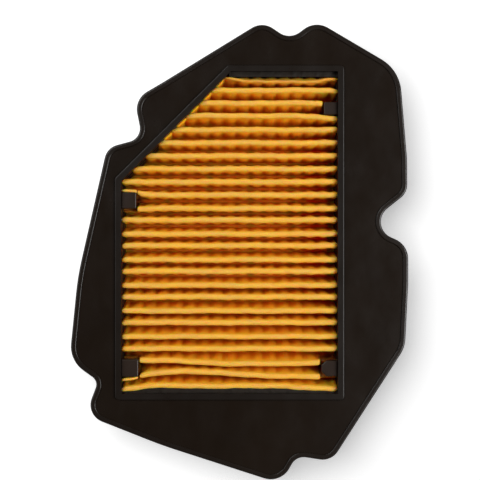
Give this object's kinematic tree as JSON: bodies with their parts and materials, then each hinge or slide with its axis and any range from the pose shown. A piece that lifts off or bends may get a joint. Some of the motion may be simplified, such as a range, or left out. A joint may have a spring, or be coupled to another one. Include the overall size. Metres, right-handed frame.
{
  "type": "panel air filter",
  "caption": "Panel air filter element for a scooter or motorcycle airbox: pleated oiled paper in a black tray hung from a notched flange with a rubber seal.",
  "frame": {"origin": "under the middle of the flange's outline, at the height of the tray's bottom face", "axes": "+Z out of the pleated face that shows, +Y along the flange's long direction towards the end with the cut-off tray corner, +X along the pleats' folds, towards the side with the deep U notch"},
  "size_m": [0.1486, 0.2004, 0.027],
  "materials": {
    "flange": "moulded satin black with a brown cast",
    "seal": "moulded satin rubber",
    "tray": "moulded satin black",
    "grid": "moulded matt black",
    "filter_paper": "oil treated corrugated filter paper, amber",
    "adhesive": "dark sealing adhesive, semi gloss",
    "hot_melt": "translucent amber hot melt",
    "lug": "moulded matt black"
  },
  "bodies": {
    "root": {"flange_plate": "flange", "perimeter_seal": "seal", "element_tray": "tray", "support_grid": "grid", "pleated_media": "filter_paper", "edge_glue_left": "adhesive", "edge_glue_right": "adhesive", "edge_glue_low": "adhesive", "edge_glue_high": "adhesive", "edge_glue_corner": "adhesive", "spacer_bead_1": "hot_melt", "spacer_bead_2": "hot_melt", "spacer_bead_3": "hot_melt", "spacer_bead_4": "hot_melt", "hold_down_lug_1": "lug", "hold_down_lug_2": "lug", "hold_down_lug_3": "lug", "hold_down_lug_4": "lug"}
  },
  "joints": []
}
